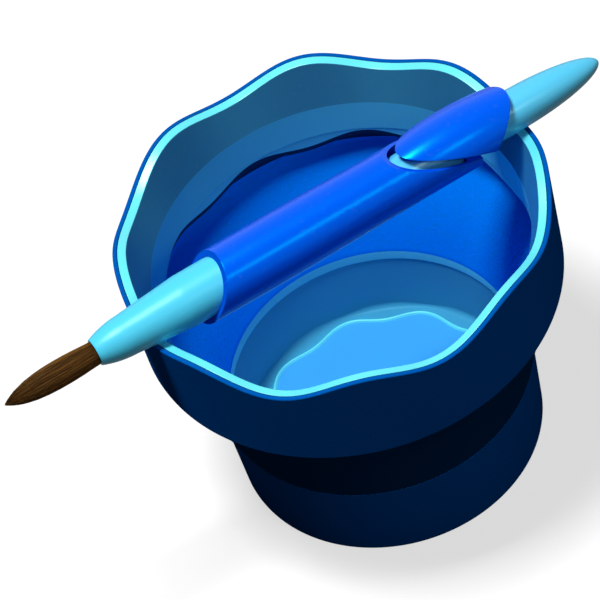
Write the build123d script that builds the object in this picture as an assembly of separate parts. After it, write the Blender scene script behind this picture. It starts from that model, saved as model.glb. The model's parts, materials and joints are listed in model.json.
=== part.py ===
from build123d import *
import math
import os

# Collapsible paint-water cup with a wavy brush-rest rim, and the round brush that lies across it.
# Lengths are in millimetres. The cup stands on z = 0 with its axis on Z, X runs along the brush
# towards its tail, and a valley of the rim lies at each end of the brush.

# Wavy rim and collar
rim_radius = 50.0
cup_height = 77.0
wave_rise = 1.93
wave_count = 8
wave_points_each = 16
rim_sectors = 4
rim_sector_share = 0.3
skirt_wall = 1.1
skirt_height = 24.0
skirt_taper = 0.7
skirt_edge_round = 0.4
rim_band_width = 2.0
rim_band_drop = 0.55
mouth_cone_depth = 10.0
throat_radius = 43.8
liner_wall = 1.5
liner_taper = 0.3
liner_height = 19.5

# Soft fold between collar and base
fold_wall = 1.3
fold_flange = 1.3
fold_inner_drop = 2.0
fold_bead_height = 4.0
fold_belly = 1.0
fold_lip_height = 3.0
fold_shoulder = 0.25
fit_clearance = 0.05

# Base
base_wall_height = 23.0
base_top_radius = 37.6
base_foot_radius = 36.5
base_wall = 1.5
base_foot_round = 1.0
base_floor = 2.0
pan_wall = 1.0
pan_corner = 1.5

# Brush: distances along its axis are counted from the cup's axis, the tail is on the plus side
brush_offset = -2.5
brush_rest_gap = 0.15
nose_front = -62.0
nose_front_radius = 3.2
nose_ogive_length = 8.0
nose_ogive_radius = 4.87
nose_ogive_swell = 0.35
nose_cone_end = -38.6
nose_radius = 6.15
nose_back = -24.0
ferrule_depth = 9.0
spigot_radius = 3.5
spigot_depth = 12.0
ring_width = 1.6
ring_depth = 1.0
ring_back_wall = 1.2
handle_radius = 4.9
handle_taper_start = 50.0
handle_taper_length = 12.0
handle_taper_radius = 3.85
handle_end = 70.9
handle_end_radius = 2.1
handle_tip_round = 1.0

# Hair
hair_length = 23.6
hair_root_radius = 2.72
hair_belly_radius = 3.14
hair_belly_distance = 8.5
hair_point_power = 2.5
hair_point_bluntness_share = 0.75
strand_count = 340
strand_sides = 3
strand_radius = 0.115
strand_tip_radius = 0.02
root_slice = 1.5
strand_margin = 0.12
strand_station_shares = (0.0, 0.36, 0.58, 0.74, 0.87, 0.95)
strand_shortest_share = 0.84
strand_longest_share = 0.985
ring_offset_share = 0.5

# Grip sleeve
sleeve_mouth = -33.0
sleeve_mouth_slant = 4.2
sleeve_mouth_radius = 7.25
sleeve_swell_radius = 7.65
sleeve_swell_place = -12.0
sleeve_window = 14.8
sleeve_window_radius = 7.3
sleeve_end = 35.2
sleeve_end_radius = 7.2
mouth_clearance = 0.15
bore_clearance = 0.45
window_depth = 7.8
window_sag = 0.9
guide_rib_width = 3.5
running_clearance = 0.1
stop_gap = 0.3

# Thumb tab
tab_front = 18.3
tab_front_radius = 7.0
tab_hump_place = 34.0
tab_hump_radius = 8.4
tab_rear = 47.2
tab_rear_radius = 7.0
tab_corner = 38.8
tab_bore_clearance = 0.02
tab_lower_sag = 0.5

overrun = 5.0
golden_angle = math.radians(137.508)
half_turn = math.pi
whole_turn = 2 * math.pi


def turned(points):
    # A ring or cup turned about Z from corners given as radius and height.
    outline = Polyline([(radius, 0, height) for radius, height in points], close=True)
    return revolve(make_face(outline), Axis.Z)


def wave_height_at(angle):
    return cup_height - wave_rise * math.cos(wave_count * angle)


def wave_line(radius, lift, start, end):
    # Wavy line round part of the cup at one radius.
    steps = wave_count * wave_points_each // rim_sectors
    points = []
    for step in range(steps + 1):
        angle = start + (end - start) * step / steps
        height = wave_height_at(angle) + lift
        points.append((radius * math.cos(angle), radius * math.sin(angle), height))
    return Edge.make_spline(points)


def above_the_rim():
    # Everything above the wavy rim, in sectors: the band falls a little towards the inside.
    band_slope = rim_band_drop / (skirt_wall + rim_band_width)
    inner_radius = throat_radius - overrun
    outer_radius = rim_radius + overrun
    sectors = []
    for sector in range(rim_sectors):
        start = whole_turn * (sector + rim_sector_share) / rim_sectors
        end = start + whole_turn / rim_sectors
        outer_edge = wave_line(outer_radius, band_slope * (outer_radius - rim_radius), start, end)
        inner_edge = wave_line(inner_radius, band_slope * (inner_radius - rim_radius), start, end)
        face = Face.make_surface_from_curves(inner_edge, outer_edge)
        sectors.append(Solid.extrude(face, Vector(0, 0, wave_rise * 2 + overrun)))
    return sectors


skirt_bottom = cup_height - skirt_height
skirt_bottom_radius = rim_radius - skirt_taper
collar_top = cup_height + wave_rise * 2
skirt_slope = skirt_taper / skirt_height
skirt_top_radius = skirt_bottom_radius + skirt_slope * (collar_top - skirt_bottom)
band_outer_radius = rim_radius - skirt_wall
band_inner_radius = band_outer_radius - rim_band_width
throat_height = cup_height - rim_band_drop - mouth_cone_depth
mouth_slope = (band_inner_radius - throat_radius) / mouth_cone_depth
liner_top_radius = band_inner_radius + mouth_slope * (collar_top - cup_height + rim_band_drop)
liner_bottom_radius = throat_radius - liner_taper
liner_bottom = cup_height - liner_height


def collar_shell():
    skirt = turned([
        (skirt_bottom_radius - skirt_wall, skirt_bottom),
        (skirt_bottom_radius, skirt_bottom),
        (skirt_top_radius, collar_top),
        (skirt_top_radius - skirt_wall, collar_top),
    ])
    low_edges = skirt.edges().filter_by(GeomType.CIRCLE).group_by(Axis.Z)[0]
    skirt = fillet(low_edges.sort_by(SortBy.RADIUS)[-1], skirt_edge_round)
    return skirt.cut(*above_the_rim())


def collar_liner():
    # Light band of the rim, the cone of the mouth and the inner wall down to the fold.
    band_depth = liner_wall
    skirt_inside = skirt_top_radius - skirt_wall
    skirt_inside_low = skirt_inside - skirt_slope * (collar_top - cup_height + wave_rise + band_depth)
    band_bottom = cup_height - wave_rise - band_depth
    liner = turned([
        (liner_bottom_radius, liner_bottom),
        (liner_bottom_radius + liner_wall, liner_bottom),
        (throat_radius + liner_wall, throat_height),
        (band_inner_radius, band_bottom),
        (skirt_inside_low, band_bottom),
        (skirt_inside, collar_top),
        (liner_top_radius, collar_top),
        (throat_radius, throat_height),
    ])
    return liner.cut(*above_the_rim())


base_slope = (base_top_radius - base_foot_radius) / base_wall_height


def base_inside_at(height):
    return base_foot_radius + base_slope * height - base_wall


fold_top_radius = skirt_bottom_radius - fold_shoulder
fold_bead_outer = skirt_bottom_radius - skirt_wall - fit_clearance
fold_bead_inner = throat_radius + liner_wall + fit_clearance
base_inner_radius = base_top_radius - base_wall


def fold_membrane():
    # Soft cone: its bead sits between skirt and inner wall, its lip lines the base's upper edge.
    rise = skirt_bottom - base_wall_height
    run = fold_top_radius - base_top_radius
    middle = base_wall_height + rise / 2
    middle_radius = base_top_radius + run / 2 - fold_belly
    lip_bottom = base_wall_height - fold_lip_height
    lip_radius = base_inside_at(lip_bottom) - fit_clearance
    wall_across = fold_wall * math.hypot(rise, run) / rise
    flange_bottom = liner_bottom - fold_flange
    inner_bottom = lip_radius - fold_wall
    inner_top = fold_bead_outer - fold_wall
    outline = Polyline([
        (base_top_radius, 0, base_wall_height),
        (lip_radius, 0, base_wall_height),
        (lip_radius, 0, lip_bottom),
        (inner_bottom, 0, lip_bottom),
        (inner_bottom, 0, base_wall_height),
    ])
    outline += ThreePointArc(
        (inner_bottom, 0, base_wall_height),
        (middle_radius - wall_across, 0, middle),
        (inner_top, 0, skirt_bottom - fold_inner_drop),
    )
    outline += Polyline([
        (inner_top, 0, skirt_bottom - fold_inner_drop),
        (inner_top, 0, flange_bottom),
        (liner_bottom_radius, 0, flange_bottom),
        (liner_bottom_radius, 0, liner_bottom),
        (fold_bead_inner, 0, liner_bottom),
        (fold_bead_inner, 0, liner_bottom + fold_bead_height),
        (fold_bead_outer, 0, liner_bottom + fold_bead_height),
        (fold_bead_outer, 0, skirt_bottom),
        (fold_top_radius, 0, skirt_bottom),
    ])
    outline += ThreePointArc(
        (fold_top_radius, 0, skirt_bottom),
        (middle_radius, 0, middle),
        (base_top_radius, 0, base_wall_height),
    )
    return revolve(make_face(outline), Axis.Z)


pan_floor_top = base_floor + pan_wall


def base_shell():
    shell = turned([
        (0, 0),
        (base_foot_radius, 0),
        (base_top_radius, base_wall_height),
        (base_inner_radius, base_wall_height),
        (base_inside_at(base_floor), base_floor),
        (0, base_floor),
    ])
    low_edges = shell.edges().filter_by(GeomType.CIRCLE).group_by(Axis.Z)[0]
    return fillet(low_edges.sort_by(SortBy.RADIUS)[-1], base_foot_round)


def base_pan():
    # Light inner cup of the base: floor and wall, bonded in and reaching up to the fold's lip.
    pan_top = base_wall_height - fold_lip_height
    foot_radius = base_inside_at(base_floor) - fit_clearance
    top_radius = base_inside_at(pan_top) - fit_clearance
    inner_low = base_inside_at(pan_floor_top + pan_corner) - fit_clearance - pan_wall
    corner_side = pan_corner * (1 - math.sqrt(1 / 2))
    outline = Polyline([
        (0, 0, pan_floor_top),
        (0, 0, base_floor),
        (foot_radius, 0, base_floor),
        (top_radius, 0, pan_top),
        (top_radius - pan_wall, 0, pan_top),
        (inner_low, 0, pan_floor_top + pan_corner),
    ])
    outline += ThreePointArc(
        (inner_low, 0, pan_floor_top + pan_corner),
        (inner_low - corner_side, 0, pan_floor_top + corner_side),
        (inner_low - pan_corner, 0, pan_floor_top),
    )
    outline += Line((inner_low - pan_corner, 0, pan_floor_top), (0, 0, pan_floor_top))
    return revolve(make_face(outline), Axis.Z)


def rest_height(radius, reach):
    # Height of the axis of a rod that lies on the wavy rim, beside the valley's lowest point.
    best = 0
    samples = wave_count * wave_points_each
    for step in range(-samples, samples + 1):
        side = brush_offset + radius * step / samples
        crest = wave_height_at(math.atan2(side, reach))
        clear = radius + brush_rest_gap
        height = crest + math.sqrt(clear ** 2 - (side - brush_offset) ** 2)
        best = max(best, height)
    return best


nose_cone_slope = (nose_radius - nose_ogive_radius) / (nose_cone_end - nose_front - nose_ogive_length)
nose_rim_radius = nose_ogive_radius + nose_cone_slope * (-rim_radius - nose_front - nose_ogive_length)
front_height = rest_height(nose_rim_radius, rim_radius)
tail_height = rest_height(handle_radius, rim_radius)
brush_height = (front_height + tail_height) / 2
brush_tilt = math.degrees(math.atan((front_height - tail_height) / (2 * rim_radius)))
brush_place = Pos(0, brush_offset, brush_height) * Rot(0, brush_tilt, 0)


def laid(shape):
    # From the brush's own axis to its place on the cup.
    return brush_place * shape


def turned_along(points):
    # A piece turned about the brush's axis from corners given as distance and radius.
    outline = Polyline([(distance, 0, radius) for distance, radius in points], close=True)
    return revolve(make_face(outline), Axis.X)


ring_outer = nose_radius + bore_clearance - fit_clearance
ring_back = nose_back - ring_back_wall
ring_front = ring_back - ring_width
ring_inner = nose_radius - ring_depth


def brush_nose():
    # Front cone that holds the hair, with the groove of the slide ring near its back.
    socket_radius = hair_root_radius
    socket_end = nose_front + ferrule_depth
    ogive_end = nose_front + nose_ogive_length
    ogive_middle = (nose_front_radius + nose_ogive_radius) / 2 + nose_ogive_swell
    spigot_end = nose_back - spigot_depth
    outline = Polyline([
        (socket_end, 0, 0),
        (socket_end, 0, socket_radius),
        (nose_front, 0, socket_radius),
        (nose_front, 0, nose_front_radius),
    ])
    outline += ThreePointArc(
        (nose_front, 0, nose_front_radius),
        (nose_front + nose_ogive_length / 2, 0, ogive_middle),
        (ogive_end, 0, nose_ogive_radius),
    )
    outline += Polyline([
        (ogive_end, 0, nose_ogive_radius),
        (nose_cone_end, 0, nose_radius),
        (ring_front, 0, nose_radius),
        (ring_front, 0, ring_inner),
        (ring_back, 0, ring_inner),
        (ring_back, 0, nose_radius),
        (nose_back, 0, nose_radius),
        (nose_back, 0, spigot_radius),
        (spigot_end, 0, spigot_radius),
        (spigot_end, 0, 0),
        (socket_end, 0, 0),
    ])
    return laid(revolve(make_face(outline), Axis.X))


def slide_ring():
    # Rubber ring that drags in the sleeve's bore and stops at the mouth's land.
    return laid(turned_along([
        (ring_front, ring_inner),
        (ring_front, ring_outer),
        (ring_back, ring_outer),
        (ring_back, ring_inner),
    ]))


def brush_handle():
    # Rod through the sleeve with a spigot in the nose and a tapered, rounded tail.
    spigot_end = nose_back - spigot_depth
    taper_end = handle_taper_start + handle_taper_length
    nose_end = handle_end - handle_tip_round
    outline = Polyline([
        (handle_end, 0, 0),
        (spigot_end, 0, 0),
        (spigot_end, 0, spigot_radius),
        (nose_back, 0, spigot_radius),
        (nose_back, 0, handle_radius),
        (handle_taper_start, 0, handle_radius),
    ])
    outline += Spline(
        (handle_taper_start, 0, handle_radius),
        (taper_end, 0, handle_taper_radius),
        (nose_end, 0, handle_end_radius),
        (handle_end, 0, 0),
        tangents=((1, 0, 0), (0, 0, -1)),
    )
    return laid(revolve(make_face(outline), Axis.X))


def hair_radius_at(distance):
    # Outline of the tuft: it swells to the belly and closes to a point.
    if distance <= hair_belly_distance:
        swell = math.sin(half_turn / 2 * max(distance, 0) / hair_belly_distance)
        return hair_root_radius + (hair_belly_radius - hair_root_radius) * swell
    share = (distance - hair_belly_distance) / (hair_length - hair_belly_distance)
    return hair_belly_radius * max(0, 1 - share ** hair_point_power) ** hair_point_bluntness_share


def strand_section(index, distance, thickness):
    # One small polygon of a strand, drawn in with the tuft's outline.
    share = math.sqrt((index + ring_offset_share) / strand_count)
    turn = index * golden_angle
    draw_in = (hair_radius_at(distance) - strand_margin * thickness) / hair_root_radius
    reach = share * (hair_root_radius - strand_margin) * draw_in
    middle_y = reach * math.cos(turn)
    middle_z = reach * math.sin(turn)
    place = nose_front - distance
    corners = []
    for side in range(strand_sides):
        angle = turn + whole_turn * side / strand_sides
        width = strand_radius * thickness
        corners.append((place, middle_y + width * math.cos(angle), middle_z + width * math.sin(angle)))
    return Wire.make_polygon(corners, close=True)


def strand(index):
    share = (index + ring_offset_share) / strand_count
    longest = strand_longest_share - (strand_longest_share - strand_shortest_share) * share
    end = hair_length * longest
    sections = [strand_section(index, -root_slice / 2, 1.0)]
    for station in strand_station_shares:
        distance = hair_length * station
        if distance < end - root_slice:
            thickness = min(1.0, hair_radius_at(distance) / hair_root_radius)
            sections.append(strand_section(index, distance, thickness))
    sections.append(strand_section(index, end, strand_tip_radius / strand_radius))
    return Solid.make_loft(sections, ruled=True)


def brush_hair():
    # Strands rooted in a slice of the plug that fills the nose's socket.
    plug = turned_along([
        (nose_front, 0),
        (nose_front, hair_root_radius),
        (nose_front + ferrule_depth, hair_root_radius),
        (nose_front + ferrule_depth, 0),
    ])
    strands = [strand(index) for index in range(strand_count)]
    return laid(plug.fuse(*strands))


bore_radius = nose_radius + bore_clearance
mouth_land_end = ring_front - stop_gap
mouth_bottom = sleeve_mouth - sleeve_mouth_slant


def sleeve_outline(front):
    # Outer line of the sleeve from the mouth's foremost point to its blunt end.
    line = Spline(
        (front, 0, sleeve_mouth_radius),
        (sleeve_swell_place, 0, sleeve_swell_radius),
        (sleeve_window, 0, sleeve_window_radius),
        (sleeve_end, 0, sleeve_end_radius),
    )
    return line


def sleeve_side_cut():
    # Side view of the window: a long shallow curve that opens the top of the sleeve's back.
    top = sleeve_window_radius + overrun
    middle = (sleeve_window + sleeve_end) / 2
    window_low = sleeve_window_radius - window_depth
    middle_height = (sleeve_window_radius + window_low) / 2 - window_sag
    outline = ThreePointArc(
        (sleeve_window, 0, sleeve_window_radius),
        (middle, 0, middle_height),
        (sleeve_end, 0, window_low),
    )
    outline += Polyline([
        (sleeve_end, 0, window_low),
        (sleeve_end + overrun, 0, window_low),
        (sleeve_end + overrun, 0, top),
        (sleeve_window, 0, top),
        (sleeve_window, 0, sleeve_window_radius),
    ])
    return extrude(make_face(outline), amount=rim_radius / 2, both=True)


def mouth_cut():
    # Everything in front of the slanting mouth.
    far = mouth_bottom - overrun * 2
    wide = sleeve_mouth_radius + overrun
    slope = sleeve_mouth_slant / sleeve_mouth_radius
    outline = Polyline([
        (far, 0, -wide),
        (sleeve_mouth - slope * wide, 0, -wide),
        (sleeve_mouth + slope * wide, 0, wide),
        (far, 0, wide),
    ], close=True)
    return extrude(make_face(outline), amount=rim_radius / 2, both=True)


def grip_sleeve():
    front = mouth_bottom - overrun
    land_radius = nose_radius + mouth_clearance
    rib_radius = handle_radius + running_clearance
    rib_front = sleeve_end - guide_rib_width
    outline = Polyline([
        (sleeve_end, 0, sleeve_end_radius),
        (sleeve_end, 0, rib_radius),
        (rib_front, 0, rib_radius),
        (rib_front, 0, bore_radius),
        (mouth_land_end, 0, bore_radius),
        (mouth_land_end, 0, land_radius),
        (front, 0, land_radius),
        (front, 0, sleeve_mouth_radius),
    ])
    outline += sleeve_outline(front)
    sleeve = revolve(make_face(outline), Axis.X)
    sleeve = sleeve - sleeve_side_cut() - mouth_cut()
    return laid(sleeve)


def thumb_tab():
    # Leaf-shaped tab on the handle: a humped tube cut by two slanting curves.
    bore = handle_radius + tab_bore_clearance
    outline = Polyline([
        (tab_rear, 0, tab_rear_radius),
        (tab_rear, 0, bore),
        (tab_front, 0, bore),
        (tab_front, 0, tab_front_radius),
    ])
    outline += Spline(
        (tab_front, 0, tab_front_radius),
        (tab_hump_place, 0, tab_hump_radius),
        (tab_rear, 0, tab_rear_radius),
    )
    tube = revolve(make_face(outline), Axis.X)
    top = tab_hump_radius + overrun
    lower_middle = (tab_front + tab_corner) / 2
    keep = ThreePointArc(
        (tab_front, 0, tab_front_radius),
        (lower_middle, 0, tab_front_radius / 2 + tab_lower_sag),
        (tab_corner, 0, 0),
    )
    rear_middle = (tab_corner + tab_rear) / 2
    keep += ThreePointArc(
        (tab_corner, 0, 0),
        (rear_middle, 0, tab_rear_radius / 2 + tab_lower_sag),
        (tab_rear, 0, tab_rear_radius),
    )
    keep += Polyline([
        (tab_rear, 0, tab_rear_radius),
        (tab_rear, 0, top),
        (tab_front, 0, top),
        (tab_front, 0, tab_front_radius),
    ])
    prism = extrude(make_face(keep), amount=rim_radius / 2, both=True)
    return laid(tube & prism)


pieces = {
    "collar_shell": collar_shell,
    "collar_liner": collar_liner,
    "fold_membrane": fold_membrane,
    "base_shell": base_shell,
    "base_pan": base_pan,
    "brush_hair": brush_hair,
    "brush_nose": brush_nose,
    "slide_ring": slide_ring,
    "brush_handle": brush_handle,
    "grip_sleeve": grip_sleeve,
    "thumb_tab": thumb_tab,
}

os.makedirs("parts", exist_ok=True)
for name, make in pieces.items():
    export_step(make(), "parts/" + name + ".step")
print("brush axis height", round(brush_height, 3), "tilt in degrees", round(brush_tilt, 4))
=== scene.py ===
import json
import math
import random

import bpy
from mathutils import Matrix, Vector

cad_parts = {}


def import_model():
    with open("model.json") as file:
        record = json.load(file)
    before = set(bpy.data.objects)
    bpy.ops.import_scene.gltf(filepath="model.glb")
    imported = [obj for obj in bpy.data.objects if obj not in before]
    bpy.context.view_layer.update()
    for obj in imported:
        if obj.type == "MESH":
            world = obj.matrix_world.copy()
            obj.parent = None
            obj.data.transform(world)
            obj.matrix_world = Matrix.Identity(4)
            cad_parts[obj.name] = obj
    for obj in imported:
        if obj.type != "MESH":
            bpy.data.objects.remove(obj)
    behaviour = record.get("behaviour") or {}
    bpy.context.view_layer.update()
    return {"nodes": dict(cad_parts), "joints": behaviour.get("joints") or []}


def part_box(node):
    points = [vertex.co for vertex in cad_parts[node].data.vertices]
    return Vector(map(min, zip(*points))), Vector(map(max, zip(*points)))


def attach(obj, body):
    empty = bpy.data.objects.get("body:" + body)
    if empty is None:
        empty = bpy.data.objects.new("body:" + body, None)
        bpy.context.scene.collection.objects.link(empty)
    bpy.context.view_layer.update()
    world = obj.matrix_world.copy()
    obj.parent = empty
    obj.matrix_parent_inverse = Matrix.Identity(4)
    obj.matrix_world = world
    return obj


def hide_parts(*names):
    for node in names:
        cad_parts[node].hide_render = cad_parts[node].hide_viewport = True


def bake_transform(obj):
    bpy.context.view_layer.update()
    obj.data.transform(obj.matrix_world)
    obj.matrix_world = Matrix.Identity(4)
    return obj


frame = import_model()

# Collapsible paint-water cup with a wavy rim and a travel brush lying across it.
# Lengths are metres in the frame of the CAD: the cup's axis is Z and the brush points along -X.
mm = 0.001

# Camera of the photograph: how it looks at the centre of the rim
camera_distance = 886.0 * mm
camera_azimuth = -18.2
camera_elevation = 48.1
camera_roll = -16.5
camera_lens = 237.1
camera_sensor = 36.0
camera_near = 0.01
camera_far = 50.0
frame_pixels = 600
rim_centre_pixel = (330.7, 217.8)

# Rim and collar
wave_count = 8
wave_rise = 1.93 * mm
rim_radius = 50.0 * mm
skirt_wall = 1.1 * mm
skirt_taper = 0.7 * mm
rim_band_width = 2.0 * mm
rim_band_drop = 0.55 * mm
mouth_cone_depth = 10.0 * mm
throat_radius = 43.8 * mm
liner_taper = 0.3 * mm
liner_wall = 1.5 * mm

# Soft wall, with the flange and the wavy seal step under the liner, whose dark colour is painted shade
fold_wall = 1.3 * mm
fold_flange = 1.3 * mm
fold_inner_drop = 2.0 * mm
fold_belly = 1.0 * mm
fold_inner_belly = 1.6 * mm
fold_lip_height = 3.0 * mm
fold_top_setback = 0.25 * mm
fold_steps = 24
bead_height = 4.0 * mm
flange_setback = 0.15 * mm
seal_setback = 0.9 * mm
seal_height = 2.0 * mm
seal_wave_count = 10
seal_wave_rise = 1.25 * mm
# Faces within this depth under the skirt's bottom take the seal's painted shade
seal_painted_shade_depth = 2.0 * mm

# Base and its inner pan
base_wall = 1.5 * mm
base_floor = 2.0 * mm
base_taper = 1.1 * mm
foot_round = 1.0 * mm
pan_wall = 1.0 * mm
pan_corner = 1.5 * mm
ridge_wave_count = 10
ridge_wave_turn = math.radians(43)
ridge_radius = 30.9 * mm
ridge_wave_rise = 1.0 * mm
ridge_height = 0.45 * mm
ridge_half_width = 0.5 * mm

# Turned skins and their corners
fit_gap = 0.05 * mm
edge_round = 0.35 * mm
pole_radius = 0.01 * mm
segments_round = 320
corner_steps = 4
corner_reach_share = 0.45
straight_turn = math.pi * 0.98
crease_angle = math.radians(40)

# Brush, with distances along its axis counted from the cup's axis
nose_front = -62.0 * mm
handle_radius = 4.9 * mm
tail_length = 23.4 * mm
tail_steps = 24
brush_segments = 96
nose_edge = 0.25 * mm
sleeve_edge = 0.3 * mm
tab_edge = 0.4 * mm
edge_steps = 3
weld_distance = 0.002 * mm
mouth_facing = -0.5

# Tuft of hair
hair_seed = 7
hair_length = 23.2 * mm
hair_root_radius = 2.72 * mm
hair_belly_radius = 3.14 * mm
hair_belly_distance = 8.5 * mm
hair_point_power = 2.5
hair_point_bluntness_share = 0.75
hair_count = 2600
hair_stations = 9
hair_sides = 3
hair_thickness = 0.055 * mm
hair_root_depth = 0.8 * mm
hair_turn_step = math.radians(137.508)
hair_turn_jitter = 0.05
hair_drift = 0.25
hair_longest_share = 0.998
hair_shorter_share = 0.2
hair_lift_low = -0.05 * mm
hair_lift_high = 0.04 * mm
hair_taper_share = 0.85
hair_taper_power = 3

# Zones of colour on the skins, among them painted highlight and painted shade
rim_slope = 0.7
level_slope = 0.999
ridge_zone_share = 1.5
floor_zone_share = 1.05

# Surface of the moulded pieces
mottle_scale = 45.0
mottle_detail = 3.0
mark_scale = 900.0
mark_detail = 2.0
mark_start = 0.62
mark_full = 0.8
mark_strength = 0.06
mark_lightening = 0.25
gloss_low_share = 0.85
gloss_high_share = 1.15
grain_scale = 1400.0
grain_detail = 1.0
grain_strength = 0.25
grain_rim = 0.01 * mm
grain_brush = 0.012 * mm
grain_inside = 0.015 * mm
grain_cup = 0.02 * mm
grain_rubber = 0.03 * mm

# Surface of the hair
hair_dark = (0.026, 0.013, 0.005, 1)
hair_middle = (0.13, 0.055, 0.01, 1)
hair_middle_place = 0.55
hair_light = (0.32, 0.14, 0.025, 1)
hair_gloss = (1.0, 0.75, 0.5, 1)
hair_specular = 0.15
hair_streak_scale = (120, 1800, 1800)
hair_streak_detail = 2.0
hair_streak_strength = 0.5
hair_rough_low = 0.35
hair_rough_high = 0.6
hair_bump_strength = 0.2
hair_bump_depth = 0.02 * mm

# Studio: lamps, floor and sky
key_place = (-0.24, 0.06, 1.5)
key_size = (0.35, 0.35)
key_power = 23.0
strip_place = (0.31, -1.06, 1.09)
strip_size = (0.4, 0.16)
strip_power = 2.4
floor_half = 6.0
floor_drop = 0.05 * mm
floor_roughness = 0.9
floor_shade_seen = 0.4
floor_shade_unseen = 0.05
floor_glow = 0.66
sky_strength_seen = 1.0
sky_strength_unseen = 0.03

# Places read from the solids
rim_low, rim_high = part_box("collar_shell")
base_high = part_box("base_shell")[1]
liner_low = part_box("collar_liner")[0]
pan_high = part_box("base_pan")[1]
ring_low, ring_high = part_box("slide_ring")
nose_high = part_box("brush_nose")[1]
handle_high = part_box("brush_handle")[1]

rim_mean_height = rim_high.z - wave_rise
skirt_bottom = rim_low.z
band_outer_radius = rim_radius - skirt_wall
band_inner_radius = band_outer_radius - rim_band_width
lip_drop = rim_band_drop * skirt_wall / (skirt_wall + rim_band_width)
skirt_bottom_radius = rim_radius - skirt_taper
fold_top_radius = skirt_bottom_radius - fold_top_setback
throat_height = rim_mean_height - rim_band_drop - mouth_cone_depth
liner_bottom = liner_low.z
liner_bottom_radius = throat_radius - liner_taper
base_top_height = base_high.z
base_top_radius = base_high.x
base_slope = base_taper / base_top_height
pan_floor = base_floor + pan_wall

retract = next(joint for joint in frame["joints"] if joint["name"] == "brush_retract")
brush_axis = Vector(retract["axis"]).normalized()
ring_centre = (ring_low + ring_high) / 2
brush_origin = ring_centre - brush_axis * (ring_centre.x / brush_axis.x)
brush_side = Vector((0, 1, 0))
brush_up = brush_axis.cross(brush_side)


def on_brush(along, side, up):
    return brush_origin + brush_axis * along + brush_side * side + brush_up * up


def mesh_object(name, points, faces):
    mesh = bpy.data.meshes.new(name)
    mesh.from_pydata(points, [], faces)
    mesh.update()
    for polygon in mesh.polygons:
        polygon.use_smooth = True
    piece = bpy.data.objects.new(name, mesh)
    bpy.context.scene.collection.objects.link(piece)
    return piece


def rounded(corners):
    # Closed outline with each corner (first, second, radius) replaced by a small arc.
    outline = []
    count = len(corners)
    for index in range(count):
        before = Vector(corners[index - 1][:2])
        here = Vector(corners[index][:2])
        after = Vector(corners[(index + 1) % count][:2])
        radius = corners[index][2]
        to_before = (before - here).normalized()
        to_after = (after - here).normalized()
        turn = to_before.angle(to_after)
        if radius == 0 or turn > straight_turn:
            outline.append(tuple(here))
            continue
        shorter = min((before - here).length, (after - here).length)
        reach = min(radius / math.tan(turn / 2), shorter * corner_reach_share)
        radius = reach * math.tan(turn / 2)
        centre = here + (to_before + to_after).normalized() * (radius / math.sin(turn / 2))
        start = here + to_before * reach - centre
        end = here + to_after * reach - centre
        sweep = start.angle_signed(end)
        for step in range(corner_steps + 1):
            arm = start.copy()
            arm.rotate(Matrix.Rotation(-sweep * step / corner_steps, 2))
            outline.append(tuple(centre + arm))
    return outline


def ring_grid(name, loops):
    # Joins equal loops of points, in a ring, into a closed skin.
    points = [point for loop in loops for point in loop]
    per_loop = len(loops[0])
    faces = []
    for row in range(len(loops)):
        following = (row + 1) % len(loops)
        for column in range(per_loop):
            beside = (column + 1) % per_loop
            faces.append((
                row * per_loop + column,
                following * per_loop + column,
                following * per_loop + beside,
                row * per_loop + beside,
            ))
    return mesh_object(name, points, faces)


def wave_at(angle):
    return -wave_rise * math.cos(wave_count * angle)


def turned(name, outline_at):
    # Turns an outline of radius and height, which may change with the angle, about the cup's axis.
    loops = []
    for step in range(segments_round):
        angle = 2 * math.pi * step / segments_round
        loops.append([
            (radius * math.cos(angle), radius * math.sin(angle), height)
            for radius, height in outline_at(angle)
        ])
    return ring_grid(name, loops)


def zone(piece, materials, choose):
    # Gives each face the material of its zone, chosen from its middle's radius and height and its slope.
    for material in materials:
        piece.data.materials.append(material)
    for polygon in piece.data.polygons:
        radius = math.hypot(polygon.center.x, polygon.center.y)
        polygon.material_index = choose(radius, polygon.center.z, polygon.normal.z)


def smooth_between_creases(piece):
    piece.data.set_sharp_from_angle(angle=crease_angle)
    piece.modifiers.new("normals", "WEIGHTED_NORMAL").keep_sharp = True


def finish_piece(piece, body, node):
    # Gives a skin smooth shading between its creases and its body, and hides the solid that it stands for.
    smooth_between_creases(piece)
    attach(piece, body)
    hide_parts(node)


def link(tree, source, target):
    tree.links.new(source, target)


def new_material(name):
    material = bpy.data.materials.new(name)
    material.use_nodes = True
    return material, material.node_tree, material.node_tree.nodes["Principled BSDF"]


def noise(tree, place, scale, detail):
    texture = tree.nodes.new("ShaderNodeTexNoise")
    texture.inputs["Scale"].default_value = scale
    texture.inputs["Detail"].default_value = detail
    link(tree, place, texture.inputs["Vector"])
    return texture.outputs["Fac"]


def remap(tree, source, low, high, start=0.0, end=1.0):
    # Spreads a value that runs from start to end over the range from low to high.
    mapping = tree.nodes.new("ShaderNodeMapRange")
    mapping.inputs["From Min"].default_value = start
    mapping.inputs["From Max"].default_value = end
    mapping.inputs["To Min"].default_value = low
    mapping.inputs["To Max"].default_value = high
    link(tree, source, mapping.inputs["Value"])
    return mapping.outputs["Result"]


def bump(tree, shader, source, strength, depth):
    relief = tree.nodes.new("ShaderNodeBump")
    relief.inputs["Strength"].default_value = strength
    relief.inputs["Distance"].default_value = depth
    link(tree, source, relief.inputs["Height"])
    link(tree, relief.outputs["Normal"], shader.inputs["Normal"])


def colour_mix(tree):
    mix = tree.nodes.new("ShaderNodeMix")
    mix.data_type = "RGBA"
    return mix


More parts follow.
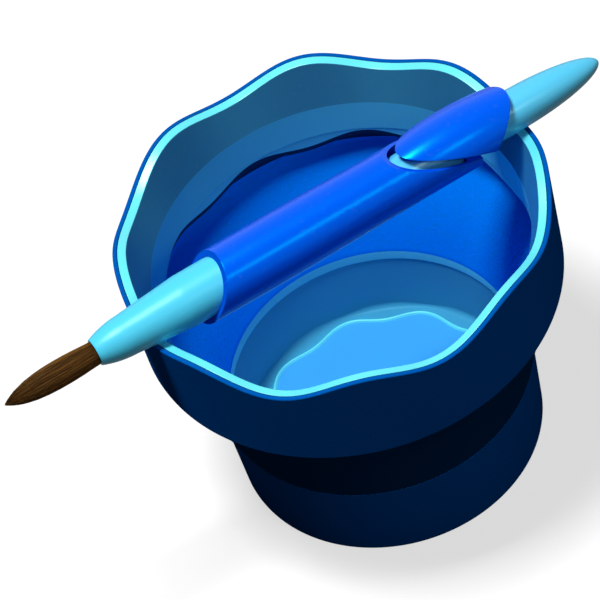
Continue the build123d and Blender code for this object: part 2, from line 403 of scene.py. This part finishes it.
def plastic(name, colour, shade_share, roughness, specular, tint, bump_depth):
    # Moulded plastic: slight mottling of colour, uneven gloss, orange-peel bump and fine rubbed marks.
    material, tree, shader = new_material(name)
    shader.inputs["Specular IOR Level"].default_value = specular
    shader.inputs["Specular Tint"].default_value = (*tint, 1)
    place = tree.nodes.new("ShaderNodeTexCoord").outputs["Object"]

    mottle = noise(tree, place, mottle_scale, mottle_detail)
    tone = colour_mix(tree)
    tone.inputs["A"].default_value = (*[channel * shade_share for channel in colour], 1)
    tone.inputs["B"].default_value = (*colour, 1)
    link(tree, mottle, tone.inputs["Factor"])

    marks = noise(tree, place, mark_scale, mark_detail)
    worn = colour_mix(tree)
    worn_colour = [channel + (1 - channel) * mark_lightening for channel in colour]
    worn.inputs["B"].default_value = (*worn_colour, 1)
    link(tree, remap(tree, marks, 0.0, mark_strength, mark_start, mark_full), worn.inputs["Factor"])
    link(tree, tone.outputs["Result"], worn.inputs["A"])
    link(tree, worn.outputs["Result"], shader.inputs["Base Color"])

    gloss = remap(tree, mottle, roughness * gloss_low_share, roughness * gloss_high_share)
    link(tree, gloss, shader.inputs["Roughness"])
    bump(tree, shader, noise(tree, place, grain_scale, grain_detail), grain_strength, bump_depth)
    return material


# Finishes: name, colour, darkest share of the mottling, roughness, gloss level, gloss tint, bump depth
blue_gloss = (0.05, 0.55, 1.0)
cyan_gloss = (0.6, 1.0, 0.92)
brush_gloss = (0.0, 0.7, 1.0)
white_gloss = (1, 1, 1)
cup_blue = plastic("cup_blue_plastic", (0.0, 0.105, 0.47), 0.9, 0.3, 0.0, blue_gloss, grain_cup)
# The rim band and the pan's ridge are painted lighter and glossier than the liner's own light blue: a painted
# highlight.
rim_painted_highlight = plastic("rim_painted_highlight_plastic", (0.13, 0.83, 0.93), 0.95, 0.3, 0.9, cyan_gloss, grain_rim)
# The cone of the mouth is the liner's plastic painted darker: painted shade.
cone_painted_shade = plastic("cone_painted_shade_plastic", (0.03, 0.2, 0.35), 0.93, 0.26, 0.3, cyan_gloss, grain_inside)
band_light = plastic("band_light_blue_plastic", (0.1, 0.62, 0.82), 0.94, 0.26, 0.35, cyan_gloss, grain_inside)
fold_blue = plastic("fold_blue_rubber", (0.0, 0.235, 0.97), 0.92, 0.4, 0.0, blue_gloss, grain_rubber)
# The outside of the soft wall is the same rubber painted nearly black: painted shade under the skirt.
fold_outside_painted_shade = plastic("fold_outside_painted_shade_rubber", (0.0, 0.045, 0.16), 0.85, 0.5, 0.0, blue_gloss, grain_rubber)
# The seal under the liner is painted nearly black: painted shade in the recess.
seal_painted_shade = plastic("seal_painted_shade_rubber", (0.0, 0.025, 0.09), 0.85, 0.5, 0.1, blue_gloss, grain_rubber)
brush_blue = plastic("brush_blue_plastic", (0.0, 0.085, 0.9), 0.93, 0.26, 0.8, brush_gloss, grain_brush)
sleeve_end = plastic("sleeve_end_blue_plastic", (0.0, 0.1, 0.75), 0.9, 0.5, 0.0, blue_gloss, grain_brush)
nose_light = plastic("nose_light_blue_plastic", (0.08, 0.68, 0.97), 0.95, 0.36, 0.5, cyan_gloss, grain_brush)
brush_light = plastic("brush_light_blue_plastic", (0.085, 0.6, 0.92), 0.95, 0.3, 0.8, cyan_gloss, grain_brush)
# The pan's wall and the floor beside it are the pan's plastic painted darker: painted shade.
pan_wall_painted_shade = plastic("pan_wall_painted_shade_plastic", (0.045, 0.33, 0.54), 0.93, 0.4, 0.08, cyan_gloss, grain_inside)
pan_light = plastic("pan_light_blue_plastic", (0.05, 0.4, 0.86), 0.94, 0.24, 0.35, cyan_gloss, grain_inside)
ring_dark = plastic("ring_dark_rubber", (0.03, 0.035, 0.045), 0.8, 0.6, 0.3, white_gloss, grain_rubber)


def hair_material():
    # Each hair has a tone of its own, with long streaks over the whole tuft.
    material, tree, shader = new_material("brown_hair")
    tone = tree.nodes.new("ShaderNodeAttribute")
    tone.attribute_name = "hair_tone"
    ramp = tree.nodes.new("ShaderNodeValToRGB")
    ramp.color_ramp.elements[0].color = hair_dark
    ramp.color_ramp.elements[1].color = hair_light
    ramp.color_ramp.elements.new(hair_middle_place).color = hair_middle
    link(tree, tone.outputs["Fac"], ramp.inputs["Fac"])

    place = tree.nodes.new("ShaderNodeTexCoord")
    stretch = tree.nodes.new("ShaderNodeMapping")
    stretch.inputs["Scale"].default_value = hair_streak_scale
    link(tree, place.outputs["Object"], stretch.inputs["Vector"])
    streaks = noise(tree, stretch.outputs["Vector"], 1.0, hair_streak_detail)

    blend = colour_mix(tree)
    blend.blend_type = "MULTIPLY"
    blend.inputs["Factor"].default_value = hair_streak_strength
    link(tree, ramp.outputs["Color"], blend.inputs["A"])
    link(tree, streaks, blend.inputs["B"])
    link(tree, blend.outputs["Result"], shader.inputs["Base Color"])

    rough = remap(tree, streaks, hair_rough_low, hair_rough_high)
    link(tree, rough, shader.inputs["Roughness"])
    shader.inputs["Specular IOR Level"].default_value = hair_specular
    shader.inputs["Specular Tint"].default_value = hair_gloss
    bump(tree, shader, streaks, hair_bump_strength, hair_bump_depth)
    return material


def collar_shell_outline(angle):
    top = rim_mean_height + wave_at(angle)
    return rounded([
        (skirt_bottom_radius - skirt_wall, skirt_bottom, edge_round / 2),
        (skirt_bottom_radius, skirt_bottom, edge_round),
        (rim_radius, top, edge_round),
        (band_outer_radius + fit_gap, top - lip_drop, edge_round / 3),
    ])


def collar_liner_outline(angle):
    top = rim_mean_height + wave_at(angle)
    band_bottom = rim_mean_height - wave_rise - liner_wall
    return rounded([
        (liner_bottom_radius, liner_bottom, edge_round),
        (liner_bottom_radius + liner_wall, liner_bottom, edge_round / 2),
        (throat_radius + liner_wall, throat_height, 0),
        (band_inner_radius, band_bottom, 0),
        (band_outer_radius - fit_gap, band_bottom, 0),
        (band_outer_radius - fit_gap, top - lip_drop, edge_round / 3),
        (band_inner_radius, top - rim_band_drop, edge_round),
        (throat_radius, throat_height, edge_round),
    ])


def liner_zone(radius, height, slope):
    # 0 rim band with a painted highlight, 1 cone of the mouth in painted shade, 2 lower band
    if height > throat_height + mouth_cone_depth / 2 and abs(slope) > rim_slope:
        return 0
    return 1 if height > throat_height else 2


shell = turned("collar_shell_skin", collar_shell_outline)
shell.data.materials.append(cup_blue)
finish_piece(shell, "collar", "collar_shell")

liner = turned("collar_liner_skin", collar_liner_outline)
zone(liner, (rim_painted_highlight, cone_painted_shade, band_light), liner_zone)
finish_piece(liner, "collar", "collar_liner")


def base_inside_at(height):
    return base_top_radius - base_slope * (base_top_height - height) - base_wall


def base_shell_outline(angle):
    # The base is plainly round, so its outline is the same at every angle.
    foot_radius = base_top_radius - base_slope * base_top_height
    return rounded([
        (pole_radius, 0.0, 0),
        (foot_radius, 0.0, foot_round),
        (base_top_radius, base_top_height, edge_round),
        (base_top_radius - base_wall, base_top_height, edge_round / 2),
        (base_inside_at(base_floor), base_floor, 0),
        (pole_radius, base_floor, 0),
    ])


def base_pan_outline(angle):
    # The floor carries a low wavy ridge just inside its rounded corner.
    ridge = ridge_radius + ridge_wave_rise * math.cos(ridge_wave_count * (angle - ridge_wave_turn))
    crest_half = ridge_half_width / 3
    crest = pan_floor + ridge_height
    pan_top = pan_high.z
    foot_radius = base_inside_at(base_floor) - fit_gap
    top_radius = base_inside_at(pan_top) - fit_gap
    inner_low = base_inside_at(pan_floor) - fit_gap - pan_wall
    return rounded([
        (pole_radius, base_floor, 0),
        (foot_radius, base_floor, 0),
        (top_radius, pan_top, 0),
        (top_radius - pan_wall, pan_top, edge_round),
        (inner_low, pan_floor, pan_corner),
        (ridge + ridge_half_width, pan_floor, 0),
        (ridge + crest_half, crest, crest_half),
        (ridge - crest_half, crest, crest_half),
        (ridge - ridge_half_width, pan_floor, 0),
        (pole_radius, pan_floor, 0),
    ])


def pan_zone(radius, height, slope):
    # 0 floor inside the ridge, 1 wall and the strip of floor beside it in painted shade, 2 ridge with a
    # painted highlight
    if radius < ridge_radius - ridge_wave_rise - ridge_half_width * 2:
        return 0
    if height < pan_floor + ridge_height * ridge_zone_share:
        near_wall = radius > ridge_radius + ridge_wave_rise + ridge_half_width
        on_floor = abs(slope) > level_slope and height < base_floor + pan_wall * floor_zone_share
        return 1 if near_wall or on_floor else 2
    return 1


base = turned("base_shell_skin", base_shell_outline)
base.data.materials.append(cup_blue)
finish_piece(base, "base", "base_shell")

pan = turned("base_pan_skin", base_pan_outline)
zone(pan, (pan_light, pan_wall_painted_shade, rim_painted_highlight), pan_zone)
finish_piece(pan, "base", "base_pan")


def fold_outside_at(share):
    # Radius of the soft wall's outer face, at a share of the way from the base up to the skirt's bottom.
    belly = fold_belly * math.sin(math.pi * share)
    return base_top_radius + (fold_top_radius - base_top_radius) * share - belly


def fold_outline(angle):
    # The flange under the liner ends in a wave, and the seal below it, whose dark colour is painted shade,
    # follows that wave.
    flange_wave = seal_wave_rise * (1 + math.cos(seal_wave_count * angle))
    flange_bottom = liner_bottom - fold_flange / 2 - flange_wave
    seal_bottom = flange_bottom - seal_height
    flange_radius = liner_bottom_radius + flange_setback
    seal_radius = liner_bottom_radius + seal_setback
    lip_bottom = base_top_height - fold_lip_height
    lip_radius = base_inside_at(lip_bottom) - fit_gap
    inner_bottom = lip_radius - fold_wall
    bead_outer = skirt_bottom_radius - skirt_wall - fit_gap
    bead_inner = throat_radius + liner_wall + fit_gap
    bead_top = liner_bottom + bead_height
    inner_top = bead_outer - fold_wall
    inner_top_height = skirt_bottom - fold_inner_drop
    outer_rise = skirt_bottom - base_top_height
    inner_rise = inner_top_height - base_top_height
    outer = []
    inner = []
    for step in range(1, fold_steps):
        share = step / fold_steps
        outer.append((fold_outside_at(share), base_top_height + outer_rise * share, 0))
        belly = fold_inner_belly * math.sin(math.pi * share)
        inner_radius = inner_bottom + (inner_top - inner_bottom) * share - belly
        inner.append((inner_radius, base_top_height + inner_rise * share, 0))
    corners = [
        (base_top_radius, base_top_height, edge_round),
        (lip_radius, base_top_height, 0),
        (lip_radius, lip_bottom, 0),
        (inner_bottom, lip_bottom, edge_round),
        (inner_bottom, base_top_height, 0),
    ]
    corners += inner
    corners += [
        (inner_top, inner_top_height, 0),
        (inner_top, seal_bottom, edge_round),
        (seal_radius, seal_bottom, edge_round),
        (seal_radius, flange_bottom, 0),
        (flange_radius, flange_bottom, edge_round),
        (flange_radius, liner_bottom, edge_round / 2),
        (bead_inner, liner_bottom, 0),
        (bead_inner, bead_top, 0),
        (bead_outer, bead_top, 0),
        (bead_outer, skirt_bottom, 0),
        (fold_top_radius, skirt_bottom, edge_round),
    ]
    corners += outer[::-1]
    return rounded(corners)


def fold_zone(radius, height, slope):
    # 0 soft wall, 1 seal in painted shade, 2 light flange and lip, 3 outside of the soft wall in painted
    # shade
    share = (height - base_top_height) / (skirt_bottom - base_top_height)
    if 0 < share < 1 and radius > fold_outside_at(share) - fold_wall / 2:
        return 3
    if radius < base_top_radius - base_wall - fold_wall / 2 and height < base_top_height + edge_round:
        return 2
    if height < skirt_bottom - seal_painted_shade_depth or radius > skirt_bottom_radius - skirt_wall * 2:
        return 0
    return 2 if radius < liner_bottom_radius + seal_setback / 2 else 1


fold = turned("fold_membrane_skin", fold_outline)
zone(fold, (fold_blue, seal_painted_shade, band_light, fold_outside_painted_shade), fold_zone)
smooth_between_creases(fold)
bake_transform(fold)
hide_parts("fold_membrane")


def brush_handle():
    # The rod starts at the back of the nose, and the tail closes as half an ellipse.
    rod_start = nose_high.x / brush_axis.x
    tail_start = handle_high.x / brush_axis.x - tail_length
    outline = [(rod_start, pole_radius), (rod_start, handle_radius)]
    for step in range(tail_steps + 1):
        turn = math.pi / 2 * step / tail_steps
        radius = max(handle_radius * math.cos(turn), pole_radius)
        outline.append((tail_start + tail_length * math.sin(turn), radius))
    loops = []
    for step in range(brush_segments):
        angle = 2 * math.pi * step / brush_segments
        loops.append([
            on_brush(along, radius * math.cos(angle), radius * math.sin(angle))
            for along, radius in outline
        ])
    return ring_grid("brush_handle_skin", loops)


handle = brush_handle()
handle.data.materials.append(brush_light)
finish_piece(handle, "core", "brush_handle")


def hair_radius_at(distance):
    # The tuft swells to its belly and closes to a point.
    if distance <= hair_belly_distance:
        swell = math.sin(math.pi / 2 * max(distance, 0) / hair_belly_distance)
        return hair_root_radius + (hair_belly_radius - hair_root_radius) * swell
    share = (distance - hair_belly_distance) / (hair_length - hair_belly_distance)
    return hair_belly_radius * max(0, 1 - share ** hair_point_power) ** hair_point_bluntness_share


def brush_hair():
    # Fine tapered hairs that follow the tuft's outline and gather to its point.
    chance = random.Random(hair_seed)
    points = []
    faces = []
    tones = []
    for index in range(hair_count):
        share = math.sqrt((index + 0.5) / hair_count)
        turn = index * hair_turn_step + chance.uniform(-hair_turn_jitter, hair_turn_jitter)
        length = hair_length * (hair_longest_share - hair_shorter_share * share * chance.random())
        drift = chance.uniform(-hair_drift, hair_drift)
        lift = chance.uniform(hair_lift_low, hair_lift_high)
        tone = chance.random()
        first = len(points)
        for station in range(hair_stations):
            along = station / (hair_stations - 1)
            distance = -hair_root_depth + (length + hair_root_depth) * along
            reach = share * (hair_radius_at(distance) - hair_thickness) + lift * along * share
            angle = turn + drift * along
            thick = hair_thickness * (1 - hair_taper_share * along ** hair_taper_power)
            for side in range(hair_sides):
                around = angle + 2 * math.pi * side / hair_sides
                points.append(tuple(on_brush(
                    nose_front - distance,
                    reach * math.cos(angle) + thick * math.cos(around),
                    reach * math.sin(angle) + thick * math.sin(around),
                )))
                tones.append(tone)
        for station in range(hair_stations - 1):
            lower = first + station * hair_sides
            upper = lower + hair_sides
            for side in range(hair_sides):
                beside = (side + 1) % hair_sides
                faces.append((lower + side, lower + beside, upper + beside, upper + side))
        last = first + (hair_stations - 1) * hair_sides
        faces.append(tuple(last + side for side in range(hair_sides)))
        faces.append(tuple(first + side for side in reversed(range(hair_sides))))
    piece = mesh_object("brush_hair_tuft", points, faces)
    attribute = piece.data.attributes.new("hair_tone", "FLOAT", "POINT")
    attribute.data.foreach_set("value", tones)
    return piece


hair = brush_hair()
hair.data.materials.append(hair_material())
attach(hair, "core")
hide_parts("brush_hair")


def dress(node, material, edge=0.0):
    # A CAD piece keeps its mesh and gets its finish, and softly rounded edges where it is moulded.
    piece = frame["nodes"][node]
    piece.data.materials.clear()
    piece.data.materials.append(material)
    for polygon in piece.data.polygons:
        polygon.use_smooth = True
    if edge > 0:
        weld = piece.modifiers.new("weld", "WELD")
        weld.merge_threshold = weld_distance
        bevel = piece.modifiers.new("edges", "BEVEL")
        bevel.width = edge
        bevel.segments = edge_steps
        bevel.limit_method = "ANGLE"
        bevel.angle_limit = crease_angle
        bevel.harden_normals = True
    piece.modifiers.new("normals", "WEIGHTED_NORMAL").keep_sharp = True
    return piece


dress("brush_nose", nose_light, nose_edge)
dress("slide_ring", ring_dark)
dress("thumb_tab", brush_blue, tab_edge)
sleeve = dress("grip_sleeve", brush_blue, sleeve_edge)

# The sleeve's end at its mouth is matt, so it doesn't shine where it is seen edge on.
sleeve.data.materials.append(sleeve_end)
for polygon in sleeve.data.polygons:
    if polygon.normal.dot(brush_axis) < mouth_facing:
        polygon.material_index = 1


def greater(tree, first, second):
    larger = tree.nodes.new("ShaderNodeMath")
    larger.operation = "MAXIMUM"
    link(tree, first, larger.inputs[0])
    link(tree, second, larger.inputs[1])
    return larger.outputs["Value"]


def seen_rays(tree, path):
    # One for rays that see a thing directly, in a gloss or through glass, and zero for scattered light.
    direct = greater(tree, path.outputs["Is Camera Ray"], path.outputs["Is Glossy Ray"])
    return greater(tree, direct, path.outputs["Is Transmission Ray"])


def floor_material():
    # Nearly white where it is seen, but dark to scattered light, so that little of it bounces up.
    material, tree, shader = new_material("pale_floor")
    shader.inputs["Roughness"].default_value = floor_roughness
    shader.inputs["Specular IOR Level"].default_value = 0.0
    path = tree.nodes.new("ShaderNodeLightPath")
    shade = colour_mix(tree)
    shade.inputs["A"].default_value = (*[floor_shade_unseen] * 3, 1)
    shade.inputs["B"].default_value = (*[floor_shade_seen] * 3, 1)
    link(tree, seen_rays(tree, path), shade.inputs["Factor"])
    link(tree, shade.outputs["Result"], shader.inputs["Base Color"])
    glow = remap(tree, path.outputs["Is Camera Ray"], 0.0, floor_glow)
    shader.inputs["Emission Color"].default_value = (1, 1, 1, 1)
    link(tree, glow, shader.inputs["Emission Strength"])
    return material


def floor():
    corners = [
        (-floor_half, -floor_half, 0),
        (floor_half, -floor_half, 0),
        (floor_half, floor_half, 0),
        (-floor_half, floor_half, 0),
    ]
    piece = mesh_object("floor", corners, [(0, 1, 2, 3)])
    piece.location.z = -floor_drop
    piece.data.materials.append(floor_material())


def area_light(name, place, size, power):
    # A flat softbox of width and height that looks at the middle of the rim.
    lamp = bpy.data.lights.new(name, "AREA")
    lamp.shape = "RECTANGLE"
    lamp.size, lamp.size_y = size
    lamp.energy = power
    holder = bpy.data.objects.new(name, lamp)
    holder.location = place
    aim = Vector((0, 0, rim_mean_height))
    holder.rotation_euler = (aim - Vector(place)).to_track_quat("-Z", "Y").to_euler()
    bpy.context.scene.collection.objects.link(holder)


def world():
    # White where it is seen, and dim as a source of light.
    sky = bpy.data.worlds.new("studio")
    bpy.context.scene.world = sky
    sky.use_nodes = True
    tree = sky.node_tree
    back = tree.nodes["Background"]
    path = tree.nodes.new("ShaderNodeLightPath")
    level = remap(tree, seen_rays(tree, path), sky_strength_unseen, sky_strength_seen)
    link(tree, level, back.inputs["Strength"])
    back.inputs["Color"].default_value = (1, 1, 1, 1)


def camera():
    # Puts the rim's centre on its pixel in the photograph, with the picture rolled.
    azimuth = math.radians(camera_azimuth)
    elevation = math.radians(camera_elevation)
    back = Vector((
        math.sin(azimuth) * math.cos(elevation),
        -math.cos(azimuth) * math.cos(elevation),
        math.sin(elevation),
    ))
    right = Vector((math.cos(azimuth), math.sin(azimuth), 0))
    up = back.cross(right)
    plain = Matrix((right, up, back)).transposed()
    middle = frame_pixels / 2
    focal_pixels = camera_lens / camera_sensor * frame_pixels
    off_axis = Vector((
        rim_centre_pixel[0] - middle,
        middle - rim_centre_pixel[1],
        -focal_pixels,
    ))
    aim = Vector((0, 0, -1)).rotation_difference(off_axis).to_matrix()
    roll = Matrix.Rotation(math.radians(-camera_roll), 3, "Z")
    turn = plain @ (aim @ roll).transposed()
    lens = bpy.data.cameras.new("camera")
    lens.lens = camera_lens
    lens.sensor_width = camera_sensor
    lens.clip_start = camera_near
    lens.clip_end = camera_far
    eye = bpy.data.objects.new("camera", lens)
    bpy.context.scene.collection.objects.link(eye)
    rim_centre = Vector((0, 0, rim_mean_height))
    eye.matrix_world = Matrix.Translation(rim_centre + back * camera_distance) @ turn.to_4x4()
    bpy.context.scene.camera = eye


floor()
area_light("key", key_place, key_size, key_power)
area_light("front_strip", strip_place, strip_size, strip_power)
world()
camera()
bpy.context.scene.view_settings.view_transform = "Standard"

bpy.context.view_layer.update()
